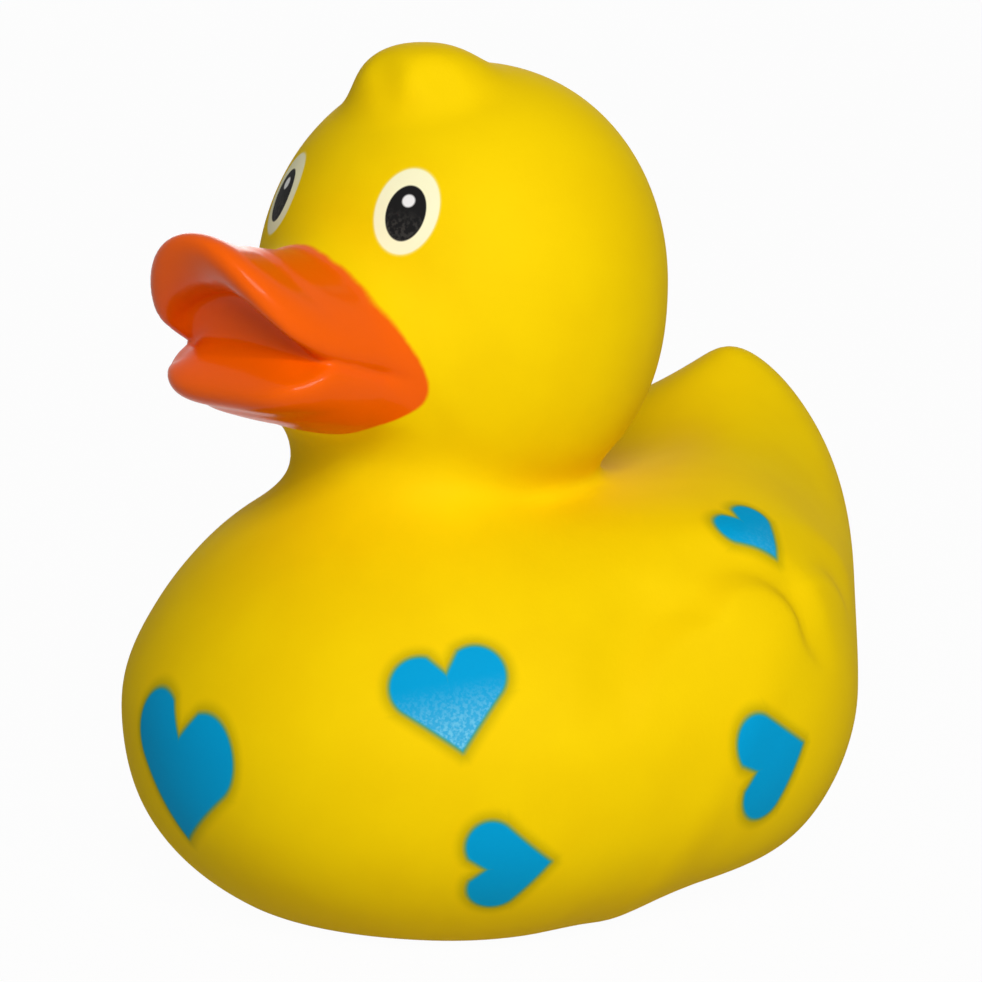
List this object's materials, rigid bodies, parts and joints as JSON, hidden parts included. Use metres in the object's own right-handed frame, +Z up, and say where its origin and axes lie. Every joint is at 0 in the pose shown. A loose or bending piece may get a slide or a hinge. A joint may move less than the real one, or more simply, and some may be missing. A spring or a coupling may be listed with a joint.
{
  "type": "rubber duck",
  "caption": "Moulded rubber duck with a round head, parted bill, soft crest, puffed wings and raised tail, printed with hearts and standing on a flat base.",
  "frame": {"origin": "the middle of the flat base", "axes": "+Z up, the duck faces -Y, its left side is +X"},
  "size_m": [0.073, 0.084, 0.0852],
  "materials": {
    "vinyl": "matte yellow vinyl, with a glossy orange bill, painted eyes and printed blue hearts"
  },
  "bodies": {
    "root": {"duck_body": "vinyl"}
  },
  "joints": []
}
